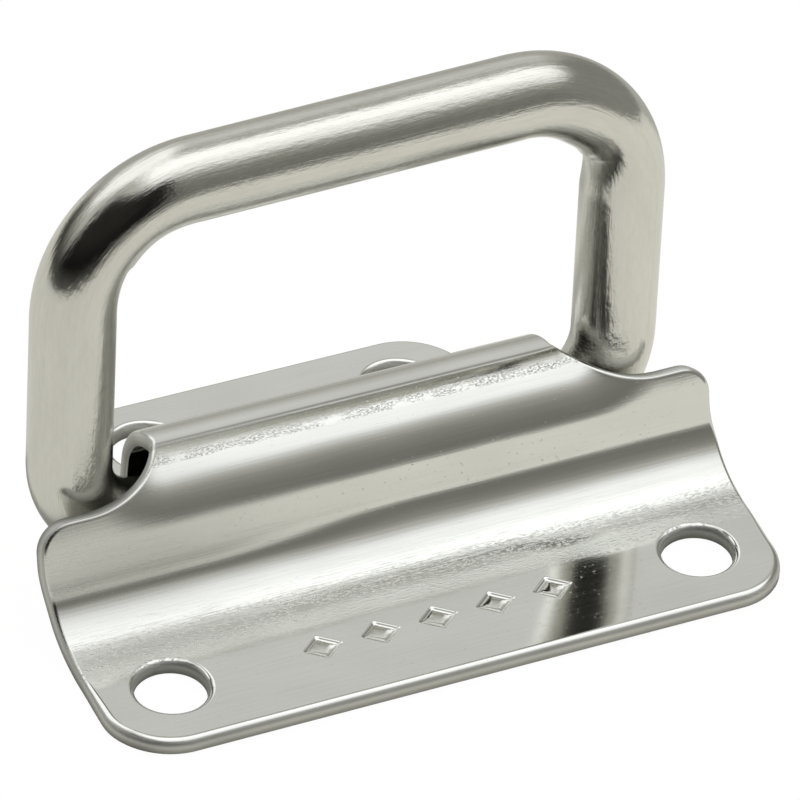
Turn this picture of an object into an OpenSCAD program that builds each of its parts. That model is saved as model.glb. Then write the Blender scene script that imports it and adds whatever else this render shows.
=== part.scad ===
// Chest handle: a bail of round bar that hinges in the folded tunnel of a pressed sheet base.
// The origin is the centre of the mounting face. X runs along the hinge, the front flange lies
// on the -Y side, the bail folds back towards +Y, and +Z points away from the chest.
// All lengths are in millimetres.

/* [Bail] */
// Diameter of the round bar
bar_diameter = 8; // [6:0.5:9]
// Distance between the centre lines of the two legs
leg_spacing = 57; // [54:1:80]
// Distance from the hinge axis to the centre line of the grip
bail_reach = 36; // [32:1:60]
// Bend radius between leg and grip, on the bar's centre line
grip_bend_radius = 11; // [9:0.5:16]
// Bend radius between leg and foot, on the bar's centre line
foot_bend_radius = 8.4; // [8:0.1:8.6]
// Straight length of each foot
foot_length = 12; // [6:1:14]
// Chamfer on the ends of the feet
foot_chamfer = 0.8; // [0.4:0.2:1.4]
// Lean of the standing bail towards the rear, in degrees
bail_lean = 4.7; // [4:0.1:12]

/* [Sheet] */
// Thickness of the sheet
sheet = 1.5; // [1.2:0.1:1.8]
// How far the sheet runs past the outer side of each leg
end_margin = 2.5; // [1.5:0.5:8]
// Distance from the tunnel's centre line to the front edge
front_reach = 27; // [26:1:40]
// Distance from the tunnel's centre line to the rear edge
rear_reach = 21; // [20:1:30]
// Radius of the sweep from the front flange up to the tunnel, on the upper face
sweep_radius = 8.2; // [7.4:0.2:10]
// Radius of the bend between rear wall and rear flange, on the upper face
rear_bend_radius = 2; // [1:0.5:2.5]
// Corner radius of both flanges, seen from above
corner_radius = 6.5; // [3:0.5:7]

/* [Tunnel] */
// Room between the bar and the front of the tunnel
front_play = 1.5; // [1:0.1:2]
// Room between the bar and the rear wall
rear_play = 0.4; // [0.4:0.1:0.8]
// Room between the bar and the top of the tunnel
head_room = 3.2; // [2.5:0.1:4]
// Height of the bar's underside above the mounting face
foot_lift = 1.3; // [0.8:0.1:2]
// Gap between each end of the tunnel and the leg beside it
leg_gap = 3.5; // [3.4:0.1:5]
// Radius of the hollow curve from the tunnel's end down to the ear
notch_radius = 10; // [8:0.5:11]
// Place of the ear's top edge on the front arc, in degrees from the rear over the top
ear_angle = 137.5; // [136:0.5:142]
// Radius of the ear's outer corner
ear_corner = 3; // [1:0.5:4]

/* [Holes] */
// Diameter of the four fixing holes
hole_diameter = 7; // [4:0.5:7.5]
// Distance from the base's end to a front hole
front_hole_end = 7.5; // [6:0.5:14]
// Distance from the front edge to a front hole
front_hole_edge = 7.8; // [6:0.2:8]
// Distance from the rear flange's end to a rear hole
rear_hole_end = 7.5; // [6:0.5:12]
// Distance from the rear edge to a rear hole
rear_hole_edge = 6.8; // [6:0.2:8]

/* [Stamped marks] */
// Number of lozenges in the row
mark_count = 5; // [1:1:6]
// Distance between neighbouring lozenges
mark_pitch = 6; // [5:0.5:7]
// Length of a lozenge along the row
mark_length = 3.8; // [2:0.2:4.4]
// Width of a lozenge across the row
mark_width = 3.2; // [2:0.2:4.4]
// Depth of the stamping
mark_depth = 0.25; // [0.1:0.05:0.4]

/* [Hidden] */
$fn = 64;
// Length by which cuts run past the solid
past = 1;
// Depth by which two curves overlap where one runs into the other
seam = 0.02;

bar_radius = bar_diameter / 2;
leg_x = leg_spacing / 2;

tunnel_half = leg_x - bar_radius - leg_gap;
tunnel_y = (front_reach - rear_reach) / 2;
base_half = leg_x + bar_radius + end_margin;
base_depth = front_reach + rear_reach;
hinge_z = foot_lift + bar_radius;

// The arch is a wide arc in front and a tighter one behind, and both top out at the crest.
front_outer = bar_radius + front_play + sheet;
rear_outer = bar_radius + rear_play + sheet;
crest_z = hinge_z + bar_radius + head_room + sheet;
front_z = crest_z - front_outer;
rear_z = crest_z - rear_outer;

// The sweep runs into the flange's upper face and into the arch, so its centre follows from both.
sweep_z = sheet + sweep_radius;
sweep_span = sweep_radius + front_outer - seam;
sweep_tilt = asin((sweep_z - front_z) / sweep_span);
sweep_y = tunnel_y - sweep_span * cos(sweep_tilt);

rear_bend_y = tunnel_y + rear_outer + rear_bend_radius;
rear_bend_z = sheet + rear_bend_radius;

// The hollow curve leaves the tunnel's end just below the height of the sheet's inner face.
notch_v = notch_radius - seam;
notch_top = front_outer - sheet - 5 * seam;
notch_x = tunnel_half + sqrt(pow(notch_radius, 2) - pow(notch_v - notch_top, 2));

steel = [0.76, 0.76, 0.74];

// All that lies below the sheet's upper face, sunk by a depth, with Y to the right and Z up
module under_skin(sunk) {
  low = -past - sunk;
  level = sheet - sunk;
  front_arc = front_outer - sunk;
  rear_arc = rear_outer - sunk;
  ends = base_depth / 2 + sunk;
  translate([-ends, low])
    square([sweep_y + ends, level - low]);
  difference() {
    translate([sweep_y, low])
      square([tunnel_y - sweep_y, front_z + front_arc * sin(sweep_tilt) - low]);
    translate([sweep_y, sweep_z])
      circle(sweep_radius + sunk);
  }
  intersection() {
    translate([tunnel_y, front_z])
      circle(front_arc);
    translate([sweep_y, low])
      square([tunnel_y - sweep_y, crest_z + past - low]);
  }
  intersection() {
    translate([tunnel_y, rear_z])
      circle(rear_arc);
    translate([tunnel_y, rear_z])
      square(rear_outer + past);
  }
  translate([tunnel_y, low])
    square([rear_arc, rear_z - low]);
  difference() {
    translate([tunnel_y, low])
      square([rear_bend_y - tunnel_y, rear_bend_z - low]);
    translate([rear_bend_y, rear_bend_z])
      circle(rear_bend_radius + sunk);
  }
  translate([rear_bend_y, low])
    square([ends - rear_bend_y, level - low]);
}

// Section of the sheet across the hinge
module sheet_section() {
  difference() {
    under_skin(0);
    under_skin(sheet);
  }
}

// Waste outside a rounded corner that points towards +X and +Y and has its tip at the origin
module corner_waste(radius) {
  translate([seam - radius, seam - radius])
    difference() {
      square(radius + past);
      circle(radius);
    }
}

// What is cut away above an ear, seen square to the sheet at the ear's top edge
module ear_trim() {
  intersection() {
    translate([notch_x, notch_v])
      circle(notch_radius);
    translate([tunnel_half, -notch_radius])
      square(3 * notch_radius);
  }
  translate([notch_x, 0])
    square([base_half + past - notch_x, notch_radius]);
  translate([base_half, 0])
    corner_waste(ear_corner);
}

// The trimming on one side: flange corners, the ear's edge in front, the tunnel's end behind
module end_trim() {
  translate([base_half, -base_depth / 2, -past])
    mirror([0, 1, 0])
      linear_extrude(sheet + 2 * past)
        corner_waste(corner_radius);
  translate([tunnel_half, base_depth / 2, -past])
    linear_extrude(sheet + 2 * past)
      corner_waste(corner_radius);
  translate([0, tunnel_y, front_z])
    rotate([ear_angle - 90, 0, 0]) {
      translate([0, 0, -past])
        linear_extrude(front_outer + 2 * past)
          ear_trim();
      translate([tunnel_half, -base_depth, -base_depth])
        cube([base_half, 2 * base_depth, base_depth]);
    }
}

// Two fixing holes at the same height across the flange
module hole_pair(half_spacing, y) {
  for (side = [-1, 1])
    translate([side * half_spacing, y, -past])
      cylinder(h = sheet + 2 * past, d = hole_diameter);
}

// Row of lozenges pressed into the front flange, in line with its holes
module stamped_row() {
  a = mark_length / 2;
  b = mark_width / 2;
  for (k = [0:mark_count - 1])
    translate([(k - (mark_count - 1) / 2) * mark_pitch, front_hole_edge - base_depth / 2, 0])
      translate([0, 0, sheet - mark_depth])
        linear_extrude(mark_depth + past)
          polygon([[-a, 0], [0, -b], [a, 0], [0, b]]);
}

// Pressed sheet: flange, sweep, tunnel, rear wall and rear flange in one
module base_plate() {
  color(steel)
    difference() {
      rotate([90, 0, 90])
        linear_extrude(2 * base_half, center = true)
          sheet_section();
      end_trim();
      mirror([1, 0, 0])
        end_trim();
      hole_pair(base_half - front_hole_end, front_hole_edge - base_depth / 2);
      hole_pair(tunnel_half - rear_hole_end, base_depth / 2 - rear_hole_edge);
      stamped_row();
    }
}

// Quarter bend of the bar about a centre in the bail's own plane, turned to its first angle
module bar_bend(centre, radius, turn) {
  translate([centre[0], 0, centre[1]])
    rotate([90, 0, 0])
      rotate(turn)
        rotate_extrude(angle = 90)
          translate([radius, 0])
            circle(bar_radius);
}

// One side of the bail from the middle of the grip down to the end of the foot
module bail_half() {
  foot_x = leg_x - foot_bend_radius;
  grip_x = leg_x - grip_bend_radius;
  translate([0, 0, bail_reach])
    rotate([0, 90, 0])
      cylinder(h = grip_x, r = bar_radius);
  bar_bend([grip_x, bail_reach - grip_bend_radius], grip_bend_radius, 0);
  translate([leg_x, 0, foot_bend_radius])
    cylinder(h = bail_reach - grip_bend_radius - foot_bend_radius, r = bar_radius);
  bar_bend([foot_x, foot_bend_radius], foot_bend_radius, -90);
  translate([foot_x, 0, 0])
    rotate([0, -90, 0]) {
      cylinder(h = foot_length - foot_chamfer, r = bar_radius);
      translate([0, 0, foot_length - foot_chamfer])
        cylinder(h = foot_chamfer, r1 = bar_radius, r2 = bar_radius - foot_chamfer);
    }
}

// Round bar bent to a U, with its feet turned inward along the hinge axis
module bail_handle() {
  color(steel)
    translate([0, tunnel_y, hinge_z])
      rotate([-bail_lean, 0, 0]) {
        bail_half();
        mirror([1, 0, 0])
          bail_half();
      }
}

base_plate();
bail_handle();
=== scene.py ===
# %% [markdown]
# A chest handle has two pieces: a base pressed from one polished steel sheet, and a bail bent from
# round bar whose feet turn in the folded tunnel of the base. Both are thin, smooth and very shiny,
# so nearly all that one sees is reflection. That decides the way of working here: the shapes are
# computed with exact normals, and the studio around them is built as carefully as the pieces.

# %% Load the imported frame
import math

import bpy
from mathutils import Matrix, Vector
from mathutils.geometry import delaunay_2d_cdt


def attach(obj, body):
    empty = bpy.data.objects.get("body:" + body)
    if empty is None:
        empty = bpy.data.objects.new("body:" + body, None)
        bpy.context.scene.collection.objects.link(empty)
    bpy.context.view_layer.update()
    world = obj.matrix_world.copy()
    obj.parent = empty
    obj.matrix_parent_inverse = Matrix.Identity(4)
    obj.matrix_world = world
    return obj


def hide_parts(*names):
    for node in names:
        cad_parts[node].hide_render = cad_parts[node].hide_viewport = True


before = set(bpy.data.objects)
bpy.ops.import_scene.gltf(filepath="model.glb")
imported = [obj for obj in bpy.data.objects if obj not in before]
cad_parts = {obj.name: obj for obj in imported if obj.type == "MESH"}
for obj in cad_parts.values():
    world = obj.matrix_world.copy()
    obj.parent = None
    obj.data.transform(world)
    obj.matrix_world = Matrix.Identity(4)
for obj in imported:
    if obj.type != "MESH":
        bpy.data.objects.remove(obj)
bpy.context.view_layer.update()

# %% [markdown]
# The camera comes first, because every later choice is judged through it. A product picture like
# this one is taken from well back with a long lens, so that parallel edges stay nearly parallel.
# The camera could be turned by hand until edges agree. Here its angles, roll and distance are
# written down, and the matrix is put together from three axes.

# %% Camera
azimuth, elevation, roll = map(math.radians, (-30.9, 36.4, 5.66))
target = Vector((0.00556, 0.0034, 0.0114))
distance = 0.8666

back = Vector((math.sin(azimuth) * math.cos(elevation),
               -math.cos(azimuth) * math.cos(elevation),
               math.sin(elevation)))
level = Vector((math.cos(azimuth), math.sin(azimuth), 0))
upward = back.cross(level)
right = math.cos(roll) * level + math.sin(roll) * upward
top = math.cos(roll) * upward - math.sin(roll) * level

camera_data = bpy.data.cameras.new("camera")
camera_data.sensor_width = 36
camera_data.lens = 417.95
camera = bpy.data.objects.new("camera", camera_data)
bpy.context.scene.collection.objects.link(camera)
turn = Matrix((right, top, back)).transposed()
camera.matrix_world = Matrix.Translation(target + distance * back) @ turn.to_4x4()
bpy.context.scene.camera = camera
print("camera at", [round(v, 3) for v in camera.matrix_world.translation])

# %% [markdown]
# The sheet has the same section all along the hinge: flange, hollow sweep, straight wall, arched
# tunnel, rear wall, bend, rear flange. A curve object could be drawn through points, but a polished
# surface shows every small wave in its curvature. So the section is a chain of straights and arcs.
# The hollow is three arcs, because pressed sheet springs back unevenly. Millimetres are handy at
# this scale, and they become metres when the mesh is made.

# %% Sizes of the sheet
SHEET = 1.5
BASE_HALF, TUNNEL_HALF = 35.0, 21.0
FRONT_EDGE, REAR_EDGE = -24.0, 24.0
TUNNEL_Y, CREST_Z = 3.0, 14.0
FRONT_ARC, REAR_ARC, REAR_BEND = 6.9, 5.9, 2.0
QUARTER = math.pi / 2
hollow = [(9.0, math.radians(34)), (9.5, math.radians(12)), (5.2, math.radians(29))]
climb = sum(turned for _, turned in hollow)
print("the wall in front of the tunnel climbs at %.0f degrees" % math.degrees(climb))

# %% [markdown]
# Each link of the chain is a length and the turn of the sheet over that length. The flange and the
# straight wall are not chosen: they are what is left between the arcs, so that the crest and the
# front edge come to lie where they should. The stations are the distances s from the front edge at
# which one link ends and the next begins.

# %% Links of the section
shares, heading = [], 0.0
for radius, turned in hollow:
    shares.append((radius * (math.sin(heading + turned) - math.sin(heading)),
                   radius * (math.cos(heading) - math.cos(heading + turned))))
    heading += turned
arc_run, arc_lift = FRONT_ARC * math.sin(climb), FRONT_ARC * (1 - math.cos(climb))
wall = (CREST_Z - SHEET - arc_lift - sum(lift for _, lift in shares)) / math.sin(climb)
flange = TUNNEL_Y - FRONT_EDGE - arc_run - wall * math.cos(climb) - sum(run for run, _ in shares)
rear_wall = CREST_Z - REAR_ARC - SHEET - REAR_BEND

links = [(flange, 0.0)]
links += [(radius * turned, turned) for radius, turned in hollow]
links += [
    (wall, 0.0),
    (FRONT_ARC * climb, -climb),
    (REAR_ARC * QUARTER, -QUARTER),
    (rear_wall, 0.0),
    (REAR_BEND * QUARTER, QUARTER),
    (REAR_EDGE - TUNNEL_Y - REAR_ARC - REAR_BEND, 0.0),
]
stations = [0.0]
for length, _ in links:
    stations.append(stations[-1] + length)
FLANGE_S, MIDDLE_S, UPPER_S, WALL_S, ARCH_S, CREST_S = stations[1:7]
REAR_WALL_S, REAR_BEND_S, REAR_FLANGE_S, TOTAL = stations[7:]
print("flange %.2f mm, wall %.2f mm, blank %.2f mm across the hinge" % (flange, wall, TOTAL))


# %% Walk along the section
def along(s):
    """Place (y, z) on the upper face and the angle of travel, at distance s from the front edge."""
    y, z, heading = FRONT_EDGE, SHEET, 0.0
    for number, (length, bend) in enumerate(links):
        last = number == len(links) - 1 or s <= length
        step = s if last else length
        angle = bend * step / length
        if bend == 0.0:
            y += step * math.cos(heading)
            z += step * math.sin(heading)
        else:
            radius = length / bend
            y += radius * (math.sin(heading + angle) - math.sin(heading))
            z += radius * (math.cos(heading) - math.cos(heading + angle))
        heading += angle
        s -= length
        if last:
            break
    return y, z, heading


print("rear edge lands at y %.3f z %.3f" % along(TOTAL)[:2])

# %% [markdown]
# On the real part the outline, the notches and the holes are punched from a flat blank, which is
# then folded. The sheet is made here in the same way: a flat blank in (x, s) with its outline, then
# folded along the section. The hollow notch between the tunnel's end and the ear is a circle when
# it is seen square to the ear, so its points are found by asking how high the sheet lies there.

# %% Measures of ears and notches
CORNER, EAR_CORNER, NOTCH = 6.5, 3.0, 10.0
EAR_LIFT = math.radians(137.5)
NOTCH_FOOT_Z, NOTCH_TOP = 7.0, 5.4
notch_x = TUNNEL_HALF + math.sqrt(NOTCH ** 2 - (NOTCH - NOTCH_TOP) ** 2)


def notch_height(s):
    """How far a point of the upper face lies above the ear's edge, seen square to the ear."""
    y, z, _ = along(s)
    return (y - TUNNEL_Y) * math.sin(EAR_LIFT) - (z - NOTCH_FOOT_Z) * math.cos(EAR_LIFT)


ear_s = ARCH_S
while notch_height(ear_s) < 0:
    ear_s += 0.01
print("the ears end %.2f mm from the front edge" % ear_s)


# %% Outline of the blank
def corner(cx, cs, radius, first, last, count):
    """Points on a rounded corner of the blank, angles in degrees."""
    steps = [math.radians(first + (last - first) * k / count) for k in range(count + 1)]
    return [(cx + radius * math.cos(a), cs + radius * math.sin(a)) for a in steps]


side = [(x, 0.0) for x in range(28)]
side += corner(BASE_HALF - CORNER, CORNER, CORNER, -90, 0, 20)
ear_edge = ear_s - EAR_CORNER - CORNER
climb_steps = int(ear_edge / 0.4)
side += [(BASE_HALF, CORNER + ear_edge * k / climb_steps) for k in range(1, climb_steps)]
side += corner(BASE_HALF - EAR_CORNER, ear_s - EAR_CORNER, EAR_CORNER, 0, 90, 12)
s = ear_s
while notch_height(s) < NOTCH_TOP:
    rise = NOTCH - notch_height(s)
    side.append((notch_x - math.sqrt(max(NOTCH ** 2 - rise ** 2, 0.0)), s))
    s += 0.04 if notch_height(s) < 0.4 else 0.2
while s < TOTAL - CORNER - 0.2:
    side.append((TUNNEL_HALF, s))
    s += 0.3
side += corner(TUNNEL_HALF - CORNER, TOTAL - CORNER, CORNER, 0, 90, 20)
side += [(x, TOTAL) for x in range(14, 0, -1)]

outline = side + [(0.0, TOTAL)] + [(-x, s) for x, s in reversed(side[1:])]
outline = [p for p, q in zip(outline, outline[1:] + outline[:1]) if math.dist(p, q) > 0.02]
print("outline of the blank:", len(outline), "points")

# %% [markdown]
# Four round holes for the screws and a row of small pressed lozenges complete the blank. Their
# places are given on the folded part, where the flanges are flat, so a place in y turns into a
# distance s by simple subtraction. Bump could draw the lozenges, but real facets mirror the room
# in four directions, so each one is a shallow pyramid with a rolled rim.

# %% Holes
HOLE = 3.5
front_s = 7.8
rear_s = TOTAL - 6.8
holes = [(27.5, front_s), (-27.5, front_s), (13.5, rear_s), (-13.5, rear_s)]
rims = [corner(x, s, HOLE, 360, 360 / 64, 63) for x, s in holes]
print(len(rims), "holes of", 2 * HOLE, "mm")

# %% Pressed marks
MARK_A, MARK_B, MARK_DEPTH = 1.9, 1.6, 0.25
RIM_DEPTH, RIM_WIDTH = 0.12, 0.32
marks = [(6.0 * k, front_s) for k in range(-2, 3)]


def mark_sink(x, s):
    """Depth of the pressed lozenges at a point of the blank: four facets with a rolled rim."""
    sink = 0.0
    for mx, ms in marks:
        slope = MARK_A * MARK_B / math.hypot(MARK_A, MARK_B)
        inside = slope * (1 - abs(x - mx) / MARK_A - abs(s - ms) / MARK_B)
        rim = min(max((inside + RIM_WIDTH / 2) / RIM_WIDTH, 0.0), 1.0)
        sink = max(sink, RIM_DEPTH * rim * rim * (3 - 2 * rim) + MARK_DEPTH * max(inside, 0.0))
    return sink


mark_rings = []
for mx, ms in marks:
    for grow in (0.2, 0.08, -0.04, -0.14, -0.26):
        a = MARK_A + grow * 1.5
        b = MARK_B + grow * 1.25
        tips = [(mx + a, ms), (mx, ms + b), (mx - a, ms), (mx, ms - b)]
        ring = []
        for p, q in zip(tips, tips[1:] + tips[:1]):
            ring += [(p[0] + (q[0] - p[0]) * k / 8, p[1] + (q[1] - p[1]) * k / 8)
                     for k in range(8)]
        mark_rings.append(ring)
print(len(marks), "pressed marks,", len(mark_rings), "rings")

# %% [markdown]
# Punching rolls the upper edge over into a small radius that catches a thin line of light. The roll
# is widest along the front edge and narrower from the sweep on, so it is a function of s. A Bevel
# modifier would give one width everywhere. The flat part of each face ends where the roll begins,
# so every loop is set in by its own radius first.

# %% Rolled edges
HOLE_ROLL = 0.7


def smooth(t):
    """A soft step from 0 to 1 as t goes from 0 to 1."""
    t = min(max(t, 0.0), 1.0)
    return t * t * (3 - 2 * t)


def inset(loop, amounts):
    """A closed loop moved to its left, an amount for each point, and the directions outward."""
    moved, outward = [], []
    neighbours = zip(loop[-1:] + loop[:-1], loop, loop[1:] + loop[:1], amounts)
    for before, here, after, amount in neighbours:
        a = Vector((here[0] - before[0], here[1] - before[1])).normalized()
        b = Vector((after[0] - here[0], after[1] - here[1])).normalized()
        middle = (a + b).normalized()
        out = Vector((middle.y, -middle.x))
        stretch = 1 / max(out.dot(Vector((a.y, -a.x))), 0.6)
        outward.append(out)
        moved.append((here[0] - out.x * amount * stretch, here[1] - out.y * amount * stretch))
    return moved, outward


edge_loops = [outline] + rims
edge_rolls = [[0.85 - 0.35 * smooth((s - 6) / 6) for _, s in outline]]
edge_rolls += [[HOLE_ROLL] * len(rim) for rim in rims]
inner_loops = [inset(loop, roll)[0] for loop, roll in zip(edge_loops, edge_rolls)]
clear_loop = inset(outline, [roll + 0.22 for roll in edge_rolls[0]])[0]
print("rolled edges from %.2f to %.2f mm" % (min(edge_rolls[0]), max(edge_rolls[0])))

# %% [markdown]
# The blank is triangulated once, and the triangles serve both faces. A Boolean would leave long
# thin faces at the holes, and a plain grid would make steps along the curves. A constrained
# Delaunay triangulation takes loops and loose points together and keeps the loops as edges. The
# loose points lie in rows, close together where the sheet bends and further apart where it is flat.

# %% Loose points of the blank
BENT_ROW, FLAT_ROW, COLUMN = 0.28, 0.7, 0.8


def within(loop, x, s):
    """Whether a point of the blank lies inside a loop."""
    hit = False
    for (ax, a), (bx, b) in zip(loop, loop[1:] + loop[:1]):
        if (a > s) != (b > s) and x < (bx - ax) * (s - a) / (b - a) + ax:
            hit = not hit
    return hit


def free(x, s):
    """Whether a point keeps clear of all edges and marks."""
    if not within(clear_loop, x, s):
        return False
    if any(math.dist((x, s), h) < HOLE + HOLE_ROLL + 0.25 for h in holes):
        return False
    return all(abs(x - mx) / (MARK_A + 0.4) + abs(s - ms) / (MARK_B + 0.35) > 1
               for mx, ms in marks)


rows, s = [], FLAT_ROW
while s < TOTAL - 0.4:
    rows.append(s)
    bent = FLANGE_S + 3 < s < REAR_WALL_S or REAR_BEND_S < s < REAR_FLANGE_S
    s += BENT_ROW if bent else FLAT_ROW
grid = [(x * COLUMN, s) for s in rows for x in range(-43, 44) if free(x * COLUMN, s)]
print(len(rows), "rows,", len(grid), "loose points")

# %% Triangulate the blank
flat, ties = [], []
for loop in inner_loops + mark_rings:
    start = len(flat)
    flat += loop
    ties += [(start + k, start + (k + 1) % len(loop)) for k in range(len(loop))]
flat += grid + marks
flat_points, _, triangles, _, _, _ = delaunay_2d_cdt([Vector(p) for p in flat], ties, [], 0, 1e-5)
kept = []
for tri in triangles:
    x = sum(flat_points[k].x for k in tri) / 3
    s = sum(flat_points[k].y for k in tri) / 3
    if within(inner_loops[0], x, s) and not any(within(r, x, s) for r in inner_loops[1:]):
        kept.append(tuple(tri))
print("blank:", len(flat_points), "points,", len(kept), "triangles")

# %% [markdown]
# Folding turns each point of the blank into a point of the part. A press is never quite true: the
# ears stand straighter towards their ends, where nothing holds the arch, and the base is a little
# out of square. Both are only tenths of a millimetre, and both show in the outline.

# %% Fold a point of the blank
EAR_STRAIGHT, EAR_LENGTH = 0.72, 8.5
OUT_OF_SQUARE = 0.7


def surface(x, s):
    """A point of the upper face. Towards the ends of the base the ears stand straighter."""
    y, z, heading = along(s)
    if ARCH_S < s < CREST_S and abs(x) > TUNNEL_HALF:
        bow = FRONT_ARC / (1 - EAR_STRAIGHT * smooth((abs(x) - TUNNEL_HALF) / EAR_LENGTH))
        y, z, heading = along(ARCH_S)
        angle = (ARCH_S - s) / bow
        y += bow * (math.sin(heading) - math.sin(heading + angle))
        z += bow * (math.cos(heading + angle) - math.cos(heading))
    skew = OUT_OF_SQUARE * smooth((s - FLANGE_S + 8) / 11)
    skew *= 1 - 0.6 * smooth((s - UPPER_S) / 4)
    return Vector((x + skew, y, z))


print("ear tip at", [round(v, 2) for v in surface(BASE_HALF, ear_s)])

# %% [markdown]
# The normal is known exactly from the section, so it is stored with the vertex. Blender would
# otherwise average the normals of the triangles, and the reflections would show faint facets. A
# mirror also shows where the sheet leaves its plain section by a few tenths of a millimetre: the
# flange is dished on the right, the sweep climbs late, the upper hollow is drawn in on the left,
# and the crest is a sharper ridge with a flatter strip in front. These could be modelled as shape.
# Here the points stay on the plain section, and only the stored normals are tilted.

# %% Tilts of the normal
DISHED, DRAWN_IN, LATE, RIDGE = 0.033, 0.23, 0.06, 0.22


def tilt(x, s):
    """Slopes that the normal shows beyond the mesh, along the hinge and along the section."""
    dish = DISHED * smooth((x - 2) / 12) * (1 - smooth((s - FLANGE_S) / 3))
    bell = min(max((s - UPPER_S) / (WALL_S - UPPER_S), 0.0), 1.0)
    slope = DRAWN_IN * math.sin(math.pi * bell ** 0.8) * (1 - smooth((x + 20) / 24))
    slack = (s - FLANGE_S) / (UPPER_S - FLANGE_S)
    slope -= LATE * smooth(slack / 0.1) * smooth((1.15 - slack) / 0.3)
    ridge = CREST_S - s
    slope += RIDGE * smooth((ridge - 0.25) / 0.45) * (1 - smooth(ridge / 4.5))
    return dish, slope


ridge_tilt = math.atan(tilt(0, CREST_S - 1)[1])
print("tilt in front of the crest %.1f degrees" % math.degrees(ridge_tilt))

# %% [markdown]
# Each vertex also gets a UV that keeps its place on the blank, for the finish, and one number that
# says how far it lies down the punched cut, because the cut is matt and the faces are polished, and
# because the lower part of the cut is darkened with painted shade.

# %% Add a vertex of the base
base_points, base_normals, base_faces, base_uv, base_cut = [], [], [], [], []


def fold(x, s, depth, out=(0.0, 0.0), lean=0.0):
    """Adds a vertex: a place on the blank, a depth below the face, and a normal that may lean."""
    h = 0.01
    travel = (surface(x, s + h) - surface(x, s - h)).normalized()
    sideways = (surface(x + h, s) - surface(x - h, s)).normalized()
    up = sideways.cross(travel).normalized()
    base_points.append((surface(x, s) - up * depth) / 1000)
    dish, slope = tilt(x, s)
    up = (up - sideways * dish - travel * slope).normalized()
    leaning = sideways * out[0] + travel * out[1]
    base_normals.append((up * math.cos(lean) + leaning * math.sin(lean)).normalized())
    base_uv.append(((x + 50) / 100, s / 100))
    steep = smooth((math.degrees(min(lean, math.pi - lean)) - 32) / 20)
    base_cut.append(steep * (0.5 + 0.5 * depth / SHEET))
    return len(base_points) - 1


upper, lower = [], []
for p in flat_points:
    dx = (mark_sink(p.x + 0.02, p.y) - mark_sink(p.x - 0.02, p.y)) / 0.04
    ds = (mark_sink(p.x, p.y + 0.02) - mark_sink(p.x, p.y - 0.02)) / 0.04
    slope = math.hypot(dx, ds)
    way = (dx / slope, ds / slope) if slope > 1e-6 else (0, 0)
    upper.append(fold(p.x, p.y, mark_sink(p.x, p.y), way, math.atan(slope)))
for p in flat_points:
    lower.append(fold(p.x, p.y, SHEET, (0, 0), math.pi))
base_faces += [tuple(upper[k] for k in tri) for tri in kept]
base_faces += [tuple(lower[k] for k in reversed(tri)) for tri in kept]
print("two faces of the sheet:", len(base_faces), "triangles")

# %% [markdown]
# Around every edge eight rings roll from the upper face into the cut, and three more close the cut
# and break the lower edge. Each ring is the loop once more, set in by what is left of the radius.

# %% Roll the edges
LOWER_BREAK = ((0.0, SHEET - 0.2, 90), (0.06, SHEET - 0.06, 135), (0.2, SHEET, 180))


def roll_rings(roll):
    """Inset, depth and lean of each ring, for the radii along one edge."""
    rings = []
    for a in (math.radians(11.25 * k) for k in range(1, 9)):
        rings.append(([r * (1 - math.sin(a)) for r in roll],
                      [r * (1 - math.cos(a)) for r in roll], a))
    for amount, depth, lean in LOWER_BREAK:
        rings.append(([amount] * len(roll), [depth] * len(roll), math.radians(lean)))
    return rings


def close_ring(ring, after):
    """Joins two rings of vertices with four-sided faces."""
    count = len(ring)
    return [(ring[k], after[k], after[(k + 1) % count], ring[(k + 1) % count])
            for k in range(count)]


start = 0
for loop, roll in zip(edge_loops, edge_rolls):
    count = len(loop)
    ring = upper[start:start + count]
    outward = inset(loop, [0.0] * count)[1]
    for amounts, depths, lean in roll_rings(roll):
        moved = inset(loop, amounts)[0]
        after = [fold(x, s, depth, out, lean)
                 for (x, s), depth, out in zip(moved, depths, outward)]
        base_faces += close_ring(ring, after)
        ring = after
    base_faces += close_ring(ring, lower[start:start + count])
    start += count
print("base:", len(base_points), "vertices,", len(base_faces), "faces")

# %% [markdown]
# Both pieces become mesh objects in the same way: vertices and faces, one UV map that keeps the
# piece's own measures for the finish, smooth shading, and the exact normals. Then the piece rides on
# its body of the frame and stands for its plain solid.

# %% Make an object of a piece
def make_piece(name, points, faces, uv_of_loop, normals, body, node):
    mesh = bpy.data.meshes.new(name)
    mesh.from_pydata(points, [], faces)
    layer = mesh.uv_layers.new(name="blank")
    for polygon in mesh.polygons:
        polygon.use_smooth = True
        for k, loop in enumerate(polygon.loop_indices):
            layer.data[loop].uv = uv_of_loop(polygon.index, k, mesh.loops[loop].vertex_index)
    mesh.normals_split_custom_set_from_vertices(normals)
    piece = bpy.data.objects.new(name, mesh)
    bpy.context.scene.collection.objects.link(piece)
    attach(piece, body)
    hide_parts(node)
    return piece


base = make_piece("pressed_base", base_points, base_faces,
                  lambda face, k, vertex: base_uv[vertex], base_normals,
                  "base", "base_plate")
cut = base.data.attributes.new("cut", "FLOAT", "POINT")
cut.data.foreach_set("value", base_cut)
print("base fills", [round(v * 1000, 2) for v in base.dimensions], "mm")
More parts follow.
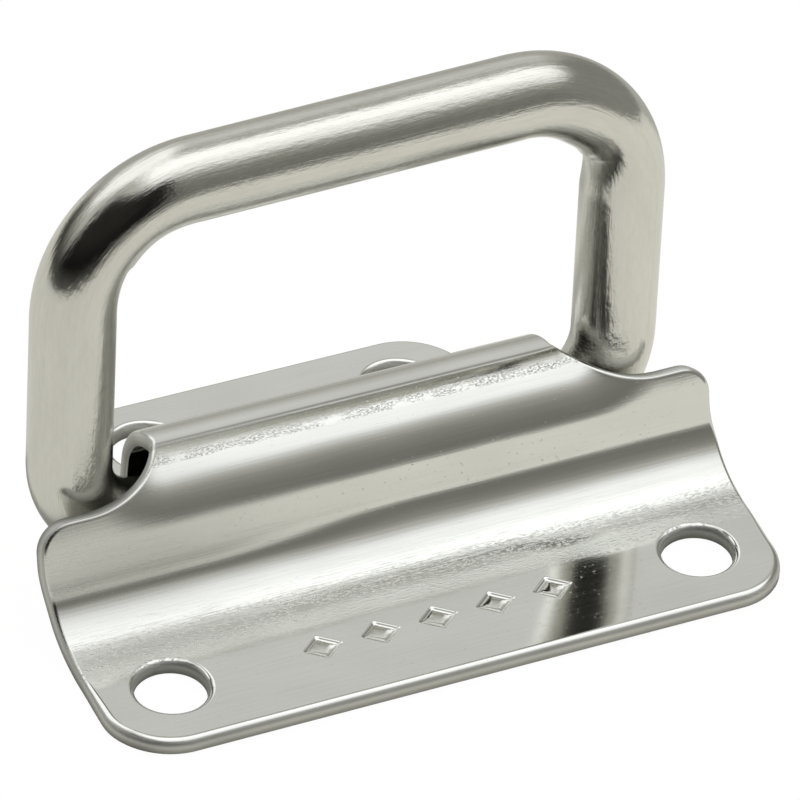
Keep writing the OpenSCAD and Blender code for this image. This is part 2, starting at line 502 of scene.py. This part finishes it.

# %% [markdown]
# The bail is one round bar, bent cold to a U with its two ends turned inward as feet. A bevelled
# curve would do for the shape, but its normals and its lengthwise measure are needed for the
# brushing of the finish, so the tube is swept along straights and bends. The two bends at the grip
# are not quite alike, and the grip slants by about a degree.

# %% Sizes of the bail
BAR = 4.0
LEG_X, REACH = 28.5, 36.0
NEAR_BEND, FAR_BEND, FOOT_BEND = 11.6, 12.1, 8.4
FOOT, CHAMFER = 12.0, 0.8
HINGE_Z = 5.3
LEAN = math.radians(4.7)
SLANT = 0.02
foot_x = LEG_X - FOOT_BEND
print("bail of %.0f mm bar, legs %.0f mm apart" % (2 * BAR, 2 * LEG_X))

# %% Path of the bail
COARSE, FINE = 0.8, 0.12
FOOT_STEPS, GRIP_STEPS = 36, 56
FINE_LENGTH = 1.5
path = []


def straight(start, end, step):
    """Adds stations along a straight: place, heading and how oval the bar is there."""
    count = max(int(math.dist(start, end) / step), 1)
    heading = math.atan2(end[1] - start[1], end[0] - start[0])
    for k in range(count):
        t = k / count
        path.append((start[0] + (end[0] - start[0]) * t,
                     start[1] + (end[1] - start[1]) * t, heading, 0.0))


def bend(centre, radius, first, count):
    """Adds stations along a quarter bend that starts at an angle and turns to the right."""
    for k in range(count):
        a = first - QUARTER * k / count
        oval = math.sin(math.pi * k / count) ** 0.5
        path.append((centre[0] + radius * math.cos(a), centre[1] + radius * math.sin(a),
                     a - QUARTER, oval))


near_leg, far_leg = REACH - NEAR_BEND, REACH - FAR_BEND
straight((-foot_x + FOOT - CHAMFER, 0), (-foot_x, 0), COARSE)
bend((-foot_x, FOOT_BEND), FOOT_BEND, -QUARTER, FOOT_STEPS)
straight((-LEG_X, FOOT_BEND), (-LEG_X, near_leg - FINE_LENGTH), COARSE)
straight((-LEG_X, near_leg - FINE_LENGTH), (-LEG_X, near_leg), FINE)
near_start = len(path)
bend((-LEG_X + NEAR_BEND, near_leg), NEAR_BEND, math.pi, GRIP_STEPS)
straight((-LEG_X + NEAR_BEND, REACH), (LEG_X - FAR_BEND, REACH), COARSE)
bend((LEG_X - FAR_BEND, far_leg), FAR_BEND, QUARTER, GRIP_STEPS)
far_end = len(path)
straight((LEG_X, far_leg), (LEG_X, far_leg - FINE_LENGTH), FINE)
straight((LEG_X, far_leg - FINE_LENGTH), (LEG_X, FOOT_BEND), COARSE)
bend((foot_x, FOOT_BEND), FOOT_BEND, 0.0, FOOT_STEPS)
straight((foot_x, 0), (foot_x - FOOT + CHAMFER, 0), COARSE)
path.append((foot_x - FOOT + CHAMFER, 0, math.pi, 0.0))

runs = [0.0]
for before, here in zip(path, path[1:]):
    runs.append(runs[-1] + math.dist(before[:2], here[:2]))
print("path of the bail:", len(path), "stations,", round(runs[-1], 1), "mm")

# %% [markdown]
# Bar that is bent cold goes slightly oval, and the tool marks its inner side: it is pressed hollow
# along the bend and squeezed up into a small step where the bend meets the leg. A sculpting brush
# could do that by eye. Here it is a height over the bar's length and the angle around it, so the
# same formula gives the shape and, by small differences, its normals.

# %% Inner side of the grip bends
STEP_HEIGHT, STEP_RISE, STEP_FADE = 0.28, 1.2, 6.5
steps_up = [(runs[near_start] + 8.0, 1), (runs[far_end] - 6.5, -1)]
BEFORE_LEG, INTO_LEG = 36, 4
hollows = [(runs[near_start], runs[near_start + GRIP_STEPS], 0.4),
           (runs[far_end - BEFORE_LEG], runs[far_end + INTO_LEG], 0.7)]


def swell(run, a):
    """Height over the round bar, at a length along it and an angle around it."""
    rise, hollowed = 0.0, 0.0
    for (place, way), (start, end, dip) in zip(steps_up, hollows):
        u = (run - place) * way
        rise += smooth((u + STEP_RISE) / STEP_RISE) * (1 - smooth(u / STEP_FADE))
        t = min(max((run - start) / (end - start), 0.0), 1.0)
        hollowed += dip * math.sin(math.pi * t) ** 2
    inner = -math.cos(a)
    return STEP_HEIGHT * rise * smooth((inner - 0.45) / 0.5) - hollowed * smooth(inner + 0.1)


print("deepest hollow %.2f mm" % -min(swell(run, math.pi) for run in runs))

# %% [markdown]
# The sweep sets a ring of points round every station of the path. The angle around the bar starts
# on the outer side of the bends, so the finish can tell the outer side from the inner one. The
# whole bail then leans back by its rest angle and is moved to the hinge.

# %% Rings of the bar
ROUND = 72
OVAL = 0.018
bar_points, bar_normals, bar_faces, bar_uv = [], [], [], []
lean_turn = Matrix.Rotation(-LEAN, 3, "X")
hinge = Vector((-0.3, TUNNEL_Y, HINGE_Z))
across_bail = Vector((0, 1, 0))


def bar_ring(station, radius, tip=0.0, run=0.0, wide=0.0):
    """One ring of the bar, with the normals tipped along the bar by an angle."""
    x, w, heading = station
    outward = Vector((-math.sin(heading), 0, math.cos(heading)))
    ahead = Vector((math.cos(heading), 0, math.sin(heading)))
    first = len(bar_points)
    for k in range(ROUND):
        a = 2 * math.pi * k / ROUND
        spoke = outward * math.cos(a) + across_bail * math.sin(a)
        squeezed = outward * math.cos(a) * (1 - wide) + across_bail * math.sin(a)
        place = Vector((x, 0, w)) + squeezed * (radius + swell(run, a))
        around = across_bail * math.cos(a) - outward * math.sin(a)
        slope = (swell(run + 0.03, a) - swell(run - 0.03, a)) / 0.06
        twist = (swell(run, a + 0.01) - swell(run, a - 0.01)) / (0.02 * BAR)
        spoke = (spoke - ahead * slope - around * twist).normalized()
        place.z *= 1 + SLANT * place.x / REACH
        normal = spoke * math.cos(tip) + ahead * math.sin(tip)
        bar_points.append((lean_turn @ place + hinge) / 1000)
        bar_normals.append(lean_turn @ normal)
    return first


print("rings of", ROUND, "points")


# %% Faces of the bar
def bridge(first, second, u_first, u_second):
    """Joins two rings, with the length along the bar as U and the turn around it as V."""
    for k in range(ROUND):
        n = (k + 1) % ROUND
        bar_faces.append((first + k, second + k, second + n, first + n))
        bar_uv.append(((u_first, k / ROUND), (u_second, k / ROUND),
                       (u_second, (k + 1) / ROUND), (u_first, (k + 1) / ROUND)))


def cap(ring, u, flip):
    """Closes the end of a foot with one flat face."""
    order = list(range(ROUND))
    if flip:
        order.reverse()
    bar_faces.append(tuple(ring + k for k in order))
    bar_uv.append(tuple((u, k / ROUND) for k in order))


UV_LENGTH = 200
x, w, heading, _ = path[0]
first_end, first_tip = (x, w, heading), (x + CHAMFER, w, heading)
end_face = bar_ring(first_tip, BAR - CHAMFER, -QUARTER)
end_edge = bar_ring(first_tip, BAR - CHAMFER, -QUARTER / 2)
shoulder = bar_ring(first_end, BAR, -QUARTER / 2)
cap(end_face, 0, True)
bridge(end_edge, shoulder, 0, 0)

ring = bar_ring(first_end, BAR)
for k in range(1, len(path)):
    x, w, heading, oval = path[k]
    after = bar_ring((x, w, heading), BAR, 0.0, runs[k], OVAL * oval)
    bridge(ring, after, runs[k - 1] / UV_LENGTH, runs[k] / UV_LENGTH)
    ring = after

last_end, last_tip = (x, w, heading), (x - CHAMFER, w, heading)
shoulder = bar_ring(last_end, BAR, QUARTER / 2)
end_edge = bar_ring(last_tip, BAR - CHAMFER, QUARTER / 2)
end_face = bar_ring(last_tip, BAR - CHAMFER, QUARTER)
bridge(shoulder, end_edge, runs[-1] / UV_LENGTH, runs[-1] / UV_LENGTH)
cap(end_face, runs[-1] / UV_LENGTH, False)
bail = make_piece("bent_bail", bar_points, bar_faces,
                  lambda face, k, vertex: bar_uv[face][k], bar_normals,
                  "bail", "bail_handle")
print("bail: bar of %.1f mm, %d faces" % (runs[-1], len(bar_faces)))


# %% [markdown]
# Finishes are node trees, and node trees are sums. One small class holds an output socket and lets
# Python's own operators add Math nodes, so that a mask reads like the formula it is. Any other node
# comes from one method, which takes the node's type, its settings and what goes into its sockets.

# %% A wire that can do sums
class Wire:
    def __init__(self, tree, socket=None):
        self.tree, self.socket = tree, socket

    def node(self, kind, settings=None, sockets=None, output=0):
        new = self.tree.nodes.new(kind)
        for key, value in (settings or {}).items():
            if key == "stops":
                elements = new.color_ramp.elements
                while len(elements) < len(value):
                    elements.new(0.5)
                for element, (position, level) in zip(elements, value):
                    element.position = position
                    element.color = (level, level, level, 1)
            else:
                setattr(new, key, value)
        for key, value in (sockets or {}).items():
            if isinstance(value, Wire):
                self.tree.links.new(value.socket, new.inputs[key])
            else:
                new.inputs[key].default_value = value
        return Wire(self.tree, new.outputs[output])

    def sum(self, operation, a, b=0.0):
        return self.node("ShaderNodeMath", {"operation": operation}, {0: a, 1: b})

    def __add__(self, other):
        return self.sum("ADD", self, other)

    def __radd__(self, other):
        return self.sum("ADD", other, self)

    def __sub__(self, other):
        return self.sum("SUBTRACT", self, other)

    def __rsub__(self, other):
        return self.sum("SUBTRACT", other, self)

    def __mul__(self, other):
        return self.sum("MULTIPLY", self, other)

    def __rmul__(self, other):
        return self.sum("MULTIPLY", other, self)

    def between(self, low, high):
        """0 below low, 1 above high, and a smooth step in between."""
        return self.node("ShaderNodeMapRange", {"interpolation_type": "SMOOTHSTEP"},
                         {"Value": self, "From Min": low, "From Max": high})

    def band(self, low, high, soft):
        """1 between low and high, fading to 0 over a soft width."""
        return self.between(low - soft, low) * (1 - self.between(high, high + soft))

    def part(self, number):
        """One of the three parts of a vector."""
        return self.node("ShaderNodeSeparateXYZ", None, {"Vector": self}, number)

    def blend(self, dark, pale):
        """A colour between two colours, or between a wire's colour and another."""
        return self.node("ShaderNodeMix", {"data_type": "RGBA"}, {0: self, 6: dark, 7: pale}, 2)

    def into(self, shader, name):
        self.tree.links.new(self.socket, shader.inputs[name])


def new_finish(name):
    finish = bpy.data.materials.new(name)
    finish.use_nodes = True
    tree = finish.node_tree
    return finish, tree, tree.nodes["Principled BSDF"], Wire(tree)


print("wires ready")

# %% [markdown]
# The sheet is polished after pressing. It mirrors the room, but not perfectly: the die has left
# fine lines along the bends, the foot of the sweep is pitted, the crest is galled where it dragged
# in the tool, and a few specks are left. In (x, s) these marks sit at fixed distances from the
# front edge, so bands of s say where each kind lies. Noise that is stretched along x draws it.

# %% Where the marks of the press and the painted shade lie
sheet_finish, tree, shader, wire = new_finish("polished_sheet")
uv = wire.node("ShaderNodeUVMap", {"uv_map": "blank"})
across = uv.part(0) * 100
away = uv.part(1) * 100

crest_line = away.band(CREST_S - 2.6, CREST_S - 2.2, 0.5)
# Two of these bands are not marks of the press but painted shade: a thin dark streak just in front
# of the crest, and a broader darker strip behind it on the rear arch.
crest_painted_shade = away.band(CREST_S - 0.9, CREST_S - 0.4, 0.25)
rear_painted_shade = away.band(CREST_S + 4.6, CREST_S + 8.0, 1.5)
foot_line = away.band(FLANGE_S - 0.3, FLANGE_S + 2.6, 1.2)
hollow_line = away.band(FLANGE_S + 2.5, MIDDLE_S - 0.5, 1.5)
formed = away.between(FLANGE_S - 1, FLANGE_S + 2) * (1 - away.between(CREST_S, CREST_S + 3))
cut = wire.node("ShaderNodeAttribute", {"attribute_name": "cut"}, None, 2)
print("the crest's galled line lies %.1f mm from the front edge" % (CREST_S - 2.4))


# %% What the marks of the press look like
def grain(across_scale, away_scale, detail):
    """Noise over the blank, stretched by its two scales."""
    place = wire.node("ShaderNodeCombineXYZ", None,
                      {"X": across * across_scale, "Y": away * away_scale})
    return wire.node("ShaderNodeTexNoise", None,
                     {"Vector": place, "Scale": 1.0, "Detail": detail, "Roughness": 0.6})


galled = grain(3.4, 8.5, 3.0).between(0.51, 0.63) * grain(0.35, 0.9, 2.0).between(0.36, 0.56)
pitted = grain(1.8, 5.0, 3.0).between(0.52, 0.62) * grain(0.22, 0.5, 1.0).between(0.28, 0.48)
dashes = grain(0.22, 6.5, 3.0).between(0.48, 0.75)
drawn = grain(0.10, 4.5, 4.0)
waves = grain(0.09, 0.14, 1.0)
specks = grain(2.0, 2.4, 2.0).between(0.66, 0.74)
print("noise for the sheet:", len(tree.nodes), "nodes so far")

# %% [markdown]
# Three things make the finish. Roughness rises where the tool has rubbed, on the left half and on
# the punched cut. The colour is a slightly warm steel, with painted shade in a thin band in front of
# the crest, in a broader band behind it, and towards the foot of the cut. Bump gives the fine
# relief, and stays so shallow that it only breaks up reflections.

# %% Finish of the polished sheet
STEEL_DARK, STEEL_PALE = (0.75, 0.76, 0.727, 1), (0.80, 0.81, 0.777, 1)
SHADED_STEEL, SHADED_CUT_STEEL = (0.34, 0.345, 0.32, 1), (0.30, 0.295, 0.27, 1)

dull = (0.03 + 0.14 * (1 - across.between(22, 56))) * formed
rough = 0.085 + dull + 0.10 * (crest_line * galled) + foot_line * (0.06 + 0.06 * pitted)
rough = rough + 0.05 * (hollow_line * dashes) + 0.06 * drawn.between(0.45, 0.8)
rough = rough + 0.42 * cut.between(0, 0.4)
rough.into(shader, "Roughness")

tone = (0.5 * waves + 0.5 * drawn).between(0.35, 0.65).blend(STEEL_DARK, STEEL_PALE)
# Painted shade: the steel is darkened in the two bands by the crest, and the front band is streaked
# by the drawn lines.
painted_shade = 0.5 * crest_painted_shade * (0.6 + 0.8 * drawn) + 0.3 * rear_painted_shade
tone = painted_shade.blend(tone, SHADED_STEEL)
# Painted shade: the steel darkens down the lower part of the punched cut, towards the table.
tone = (0.8 * cut.between(0.65, 1.0)).blend(tone, SHADED_CUT_STEEL)
tone.into(shader, "Base Color")
shader.inputs["Metallic"].default_value = 1.0

relief = (0.04 + 0.18 * formed) * drawn + 1.3 * (crest_line * galled) + 1.8 * (foot_line * pitted)
relief = relief + 0.30 * (hollow_line * dashes) + 0.25 * specks + 2.2 * waves
bump = wire.node("ShaderNodeBump", None, {"Height": relief, "Strength": 0.35, "Distance": 0.00006})
bump.into(shader, "Normal")
base.data.materials.append(sheet_finish)
print("polished sheet:", len(tree.nodes), "nodes")

# %% [markdown]
# The bar is brushed along its length before it is bent, and polished less than the sheet. So its
# highlights are softer, and under the light they break into fine streaks that run with the bar.
# Noise that is long along the bar and very fine around it gives those streaks. Taking the noise on
# a circle, and not on the flat UV, leaves no seam.

# %% Streaks of the satin bar
bar_finish, tree, shader, wire = new_finish("satin_bar")
uv = wire.node("ShaderNodeUVMap", {"uv_map": "blank"})
length = uv.part(0) * UV_LENGTH
turn_angle = uv.part(1) * (2 * math.pi)
ring_x = wire.sum("COSINE", turn_angle) * BAR
ring_y = wire.sum("SINE", turn_angle) * BAR


def bar_grain(length_scale, around_scale, detail):
    """Noise over the bar, stretched along it or around it."""
    place = wire.node("ShaderNodeCombineXYZ", None,
                      {"X": length * length_scale, "Y": ring_x * around_scale,
                       "Z": ring_y * around_scale})
    return wire.node("ShaderNodeTexNoise", None,
                     {"Vector": place, "Scale": 1.0, "Detail": detail, "Roughness": 0.65})


brushed = bar_grain(0.10, 3.2, 4.0)
clouds = bar_grain(0.10, 0.30, 3.0)
nicks = bar_grain(0.9, 2.4, 4.0)
rub = bar_grain(1.5, 1.8, 3.0)
print("noise for the bar:", len(tree.nodes), "nodes so far")

# %% [markdown]
# The feet rub in the tunnel, and the bends above them were gripped by the bending tool. There the
# inner side of the bar is scuffed. The mask for it is a band of lengths at each end of the bar,
# times the inner half of the turn around it.

# %% Finish of the satin bar
BAR_DARK, BAR_PALE = (0.70, 0.695, 0.645, 1), (0.765, 0.762, 0.715, 1)
total = runs[-1]
scuff_start = FOOT - CHAMFER + 2
scuff_end = FOOT - CHAMFER + FOOT_BEND * QUARTER + 0.5
inner_side = wire.sum("COSINE", turn_angle).between(0.1, -0.5)
near_foot = length.band(scuff_start, scuff_end, 2.0)
far_foot = length.band(total - scuff_end, total - scuff_start, 2.0)
rubbed = (near_foot + far_foot) * inner_side

rough = 0.05 + 0.08 * brushed + 0.05 * nicks + 0.03 * clouds + 0.08 * rubbed
rough.into(shader, "Roughness")
tone = (0.4 * clouds + 0.3 * brushed + 0.3 * nicks).between(0.36, 0.64).blend(BAR_DARK, BAR_PALE)
tone.into(shader, "Base Color")
shader.inputs["Metallic"].default_value = 1.0
relief = 1.0 * brushed + 1.2 * nicks + 2.4 * (rub * rubbed) + 1.2 * clouds
bump = wire.node("ShaderNodeBump", None, {"Height": relief, "Strength": 0.4, "Distance": 0.00006})
bump.into(shader, "Normal")
bail.data.materials.append(bar_finish)
print("satin bar:", len(tree.nodes), "nodes")

# %% [markdown]
# The studio is a pale table inside a tent of soft light. Seen from the handle it has a broad soft
# box overhead, a paler back, and a dark front where the camera stands. Lamps alone would leave
# black between them, which polished steel shows at once. So the tent is painted in the world, by
# the angle from the back (0) over the top (90) to the front (180). The levels go past 1 in the soft
# box, and a colour ramp stops at 1, so they are halved in the ramp and doubled after it.

# %% The arch of the tent
world = bpy.data.worlds.new("tent")
bpy.context.scene.world = world
world.use_nodes = True
tree = world.node_tree
tree.nodes.clear()
wire = Wire(tree)
way = wire.node("ShaderNodeTexCoord", None, None, 0)
way_x, way_y, way_z = way.part(0), way.part(1), way.part(2)
swing = wire.sum("ARCTAN2", way_z, way_y) * (1 / math.pi)

stops = [(0, .40), (8, .47), (16, .54), (24, .63), (32, .68), (40, .69), (46, .61), (52, .51),
         (57, .44), (62, .46), (65, .55), (68, .82), (72, 1.14), (77, 1.42), (90, 1.42),
         (97, 1.18), (101, 1.12), (108, 1.17), (112, 1.05), (116, .86), (120, .66), (124, .52),
         (132, .36), (140, .275), (156, .21), (170, .19), (175, .23), (180, .40)]
ramp = wire.node("ShaderNodeValToRGB", {"stops": [(a / 180, v / 2) for a, v in stops]},
                 {"Fac": wire.sum("ABSOLUTE", swing)})
arch = wire.node("ShaderNodeSeparateColor", None, {"Color": ramp}, 0) * 2
print("arch of the tent:", len(stops), "levels")

# %% [markdown]
# The arch alone would be the same all along the hinge. The two ends of the tent are darker near the
# table than overhead. A bright window stands behind on the left, and a black flag in front on the
# left gives the dark patch on the bend of the bail. Each is a level direction with an angle around
# it, cut off below and above.

# %% Ends, window and flag
right_side = way_x.between(0.52, 0.78)
right_light = 0.26 + 0.77 * way_z.between(0.57, 0.75)
left_side = 1 - way_x.between(-0.32, -0.08)
left_light = 0.06 + 0.46 * way_z.between(0.08, 0.55)
light = arch * (1 - right_side) + right_light * right_side
light = light * (1 - left_side) + left_light * left_side

level_way = wire.node("ShaderNodeVectorMath", {"operation": "MULTIPLY"}, {0: way, 1: (1, 1, 0)})
level_way = wire.node("ShaderNodeVectorMath", {"operation": "NORMALIZE"}, {0: level_way})


def towards(x, y, low, high):
    """1 within an angle round a level direction, given by two cosines."""
    near = wire.node("ShaderNodeVectorMath", {"operation": "DOT_PRODUCT"},
                     {0: level_way, 1: (x, y, 0)}, 1)
    return near.between(low, high)


window = towards(-0.208, 0.978, 0.79, 0.90) * way_z.between(0.36, 0.56)
window = window * (1 - way_z.between(0.88, 0.95))
light = light + (1.22 - light) * window
flag = towards(-0.737, -0.676, 0.50, 0.58) * way_z.between(0.07, 0.14)
flag = flag * (1 - way_z.between(0.86, 0.92))
light = light * (1 - 0.96 * flag)
print("window and flag hung:", len(tree.nodes), "nodes")

# %% [markdown]
# Weak light in such a tent has bounced off warm paper, so the tint goes with the level. What the
# camera sees directly is plain white, and all other rays see the tent.

# %% Light the world
WARM, WHITE = (1, 0.985, 0.90, 1), (1, 1, 1, 1)
tint = light.between(0.2, 1.0).blend(WARM, WHITE)
camera_ray = wire.node("ShaderNodeLightPath", None, None, 0)
tent = wire.node("ShaderNodeBackground", None, {"Color": tint, "Strength": light})
plain = wire.node("ShaderNodeBackground", None, {"Color": WHITE, "Strength": 1.0})
both = wire.node("ShaderNodeMixShader", None, {0: camera_ray, 1: tent, 2: plain})
both.into(tree.nodes.new("ShaderNodeOutputWorld"), "Surface")
print("tent:", len(tree.nodes), "nodes")

# %% [markdown]
# The table is a large pale sheet. Most of what the camera sees of it is given as emission, so that
# it stays white around the handle, and the rest is ordinary diffuse paper, which keeps a trace of
# the shadow. Reflected rays see part paper and part paper that glows as painted light, more towards
# the right. Painted shadow makes it darker for them under the base, close behind the rear flange,
# and further behind on the right, where the handle stands in the light.

# %% The pale table
TABLE_HALF = 0.4
corners = [(-1, -1), (1, -1), (1, 1), (-1, 1)]
table_mesh = bpy.data.meshes.new("table")
table_mesh.from_pydata([(TABLE_HALF * x, TABLE_HALF * y, 0) for x, y in corners], [], [(0, 1, 2, 3)])
table = bpy.data.objects.new("table", table_mesh)
table.location.z = -0.0002
bpy.context.scene.collection.objects.link(table)
print("table of", 2 * TABLE_HALF, "m")

# %% Finish of the table
PAPER, SHADED_PAPER = (0.88, 0.87, 0.83, 1), (0.55, 0.55, 0.52, 1)
table_finish, tree, shader, wire = new_finish("pale_table")
tree.nodes.remove(shader)
camera_ray = wire.node("ShaderNodeLightPath", None, None, 0)
glossy_ray = wire.node("ShaderNodeLightPath", None, None, 3)
spot = wire.node("ShaderNodeTexCoord", None, None, 3)
spot_x, spot_y = spot.part(0), spot.part(1)

# Masks of painted shadow on the table, seen only by reflected rays: under the base, close behind the
# rear flange, and further behind on the right.
behind = spot_y.between(0.028, 0.055) * spot_x.between(-0.02, 0.01)
below = spot_x.band(-0.034, 0.034, 0.004) * spot_y.band(-0.022, 0.022, 0.004)
close = spot_x.band(-0.020, 0.026, 0.006) * spot_y.band(0.018, 0.030, 0.008)
paper = wire.node("ShaderNodeBsdfDiffuse", None, {"Color": PAPER})
shade = wire.node("ShaderNodeBsdfDiffuse", None, {"Color": SHADED_PAPER})
paper = wire.node("ShaderNodeMixShader", None,
                  {0: glossy_ray * (behind + close + below), 1: paper, 2: shade})
glow = wire.node("ShaderNodeEmission", None, {"Color": WHITE, "Strength": 1.03})
seen = wire.node("ShaderNodeMixShader", None, {0: 0.95 * camera_ray, 1: paper, 2: glow})

# Painted light: for reflected rays the table glows, brighter towards the right and dimmed by the
# painted shadows.
lit = wire.node("ShaderNodeEmission", None, {"Color": WARM, "Strength": 1.0})
painted_glow = (0.37 + 0.17 * spot_x.between(-0.06, 0.07)) * (1 - 0.6 * behind) * (1 - 0.9 * below)
painted_glow = painted_glow * (1 - 0.6 * close)
seen = wire.node("ShaderNodeMixShader", None, {0: glossy_ray * painted_glow, 1: seen, 2: lit})
seen.into(tree.nodes["Material Output"], "Surface")
table_mesh.materials.append(table_finish)
print("pale table:", len(tree.nodes), "nodes")

# %% [markdown]
# At the end the view is set to Standard, which shows the colours as they are written.

# %% Finish
bpy.context.scene.view_settings.view_transform = "Standard"
